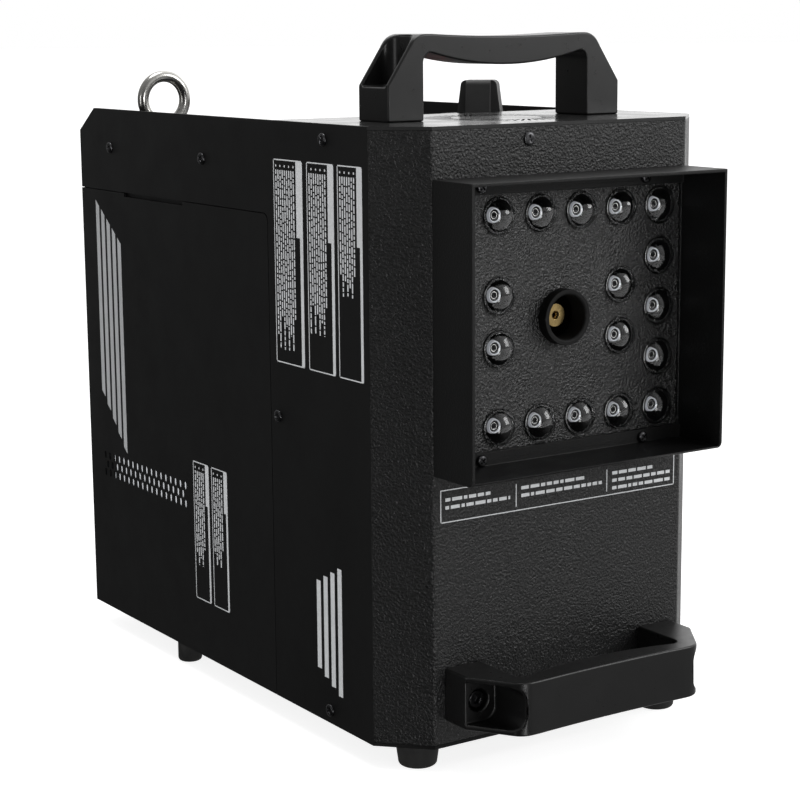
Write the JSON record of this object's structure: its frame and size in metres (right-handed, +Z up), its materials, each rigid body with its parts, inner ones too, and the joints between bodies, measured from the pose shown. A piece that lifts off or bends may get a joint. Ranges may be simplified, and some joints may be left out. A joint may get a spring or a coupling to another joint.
{
  "type": "fog machine",
  "caption": "Black sheet-metal fog machine with a central fog nozzle inside a lamp array under a square hood, two pull handles, recessed control deck, fluid tank and safety eye.",
  "frame": {"origin": "centre of the footprint, on the surface the rubber feet stand on", "axes": "+Z up, the nozzle and the lamps face -Y, +X to the right for someone looking at the nozzle side from the front along +Y"},
  "size_m": [0.2396, 0.464, 0.424],
  "materials": {
    "wrinkle_coat": "coarse wrinkle powder coat, black",
    "smooth_coat": "smooth matt powder coat, black",
    "top_coat": "fine satin powder coat, black",
    "lens": "clear moulded acrylic",
    "emitter": "phosphor resin",
    "circuit_board": "solder mask green",
    "lamp_board": "white solder mask",
    "heat_sink": "extruded, plain",
    "collar": "satin black",
    "nozzle_brass": "turned",
    "mineral_wool": "woven insulation",
    "bracket_steel": "zinc plated",
    "ceramic_case": "ceramic cream",
    "pump_case": "moulded black",
    "hose_clear": "translucent silicone",
    "copper_pipe": "drawn copper",
    "tank_white": "translucent natural polyethylene",
    "seal_rubber": "soft black",
    "grip_plastic": "satin black glass-filled nylon",
    "black_screw": "black oxide",
    "plated_steel": "bright zinc",
    "foot_rubber": "moulded black",
    "fan_plastic": "moulded black",
    "fascia": "printed film, black",
    "display": "dark display window",
    "button": "light grey",
    "socket_black": "moulded black",
    "rocker_red": "translucent red",
    "socket_metal": "nickel plated",
    "pin_metal": "plated pins"
  },
  "bodies": {
    "cabinet": {"front_cover": "wrinkle_coat", "light_hood": "wrinkle_coat", "led_panel": "wrinkle_coat", "left_side_panel": "smooth_coat", "right_side_panel": "smooth_coat", "left_rear_cover": "smooth_coat", "right_rear_cover": "smooth_coat", "rear_panel": "smooth_coat", "base_plate": "smooth_coat", "top_plate": "top_coat", "control_deck": "top_coat", "led_lenses": "lens", "led_emitters": "emitter", "control_board": "circuit_board", "power_board": "circuit_board", "led_board": "lamp_board", "led_heat_sink": "heat_sink", "heater_block": "heat_sink", "nozzle_collar": "collar", "brass_nozzle": "nozzle_brass", "heater_jacket": "mineral_wool", "heater_brackets": "bracket_steel", "inner_shelf": "bracket_steel", "pump_clamp": "bracket_steel", "power_supply": "bracket_steel", "thermostat": "ceramic_case", "pump": "pump_case", "suction_hose": "hose_clear", "feed_pipe": "copper_pipe", "fluid_tank": "tank_white", "filler_neck": "tank_white", "top_handle": "grip_plastic", "front_handle": "grip_plastic", "panel_screws": "black_screw", "hood_screws": "black_screw", "handle_screws": "black_screw", "eye_bolt": "plated_steel", "eye_bolt_nut": "plated_steel", "front_feet": "foot_rubber", "rear_feet": "foot_rubber", "back_feet": "foot_rubber", "fan_frame": "fan_plastic", "control_fascia": "fascia", "display_window": "display", "switch_housing": "socket_black", "power_inlet": "socket_black", "fuse_holder": "socket_black", "dmx_in": "socket_metal", "dmx_out": "socket_metal", "socket_pins": "pin_metal"},
    "cap_seal": {"cap_gasket": "seal_rubber"},
    "cap": {"tank_cap": "grip_plastic"},
    "fan": {"fan_rotor": "fan_plastic"},
    "menu_key": {"menu_button": "button"},
    "up_key": {"up_button": "button"},
    "down_key": {"down_button": "button"},
    "enter_key": {"enter_button": "button"},
    "rocker": {"power_rocker": "rocker_red"},
    "fuse_knob": {"fuse_cap": "socket_black"}
  },
  "joints": [
    {"name": "cap_lift", "type": "slide", "parent": "cabinet", "child": "cap_seal", "axis": [0, 0, 1], "range_m": [0, 0.06]},
    {"name": "cap_turn", "type": "hinge", "parent": "cap_seal", "child": "cap", "pos_m": [0.0605, -0.015, 0.368], "axis": [0, 0, 1], "range_deg": [0, 540]},
    {"name": "fan_spin", "type": "hinge", "parent": "cabinet", "child": "fan", "pos_m": [0, -0.116, 0.359], "axis": [0, 0, 1], "continuous": true},
    {"name": "menu_press", "type": "slide", "parent": "cabinet", "child": "menu_key", "axis": [0, 0, -1], "range_m": [0, 0.0012], "stiffness_N_per_m": 300},
    {"name": "up_press", "type": "slide", "parent": "cabinet", "child": "up_key", "axis": [0, 0, -1], "range_m": [0, 0.0012], "stiffness_N_per_m": 300},
    {"name": "down_press", "type": "slide", "parent": "cabinet", "child": "down_key", "axis": [0, 0, -1], "range_m": [0, 0.0012], "stiffness_N_per_m": 300},
    {"name": "enter_press", "type": "slide", "parent": "cabinet", "child": "enter_key", "axis": [0, 0, -1], "range_m": [0, 0.0012], "stiffness_N_per_m": 300},
    {"name": "rocker_tilt", "type": "hinge", "parent": "cabinet", "child": "rocker", "pos_m": [0.062, 0.05, 0.352], "axis": [1, 0, 0], "range_deg": [-16, 0]},
    {"name": "fuse_cap_turn", "type": "hinge", "parent": "cabinet", "child": "fuse_knob", "pos_m": [0.062, 0.143, 0.358], "axis": [0, 0, 1], "range_deg": [0, 90]}
  ]
}
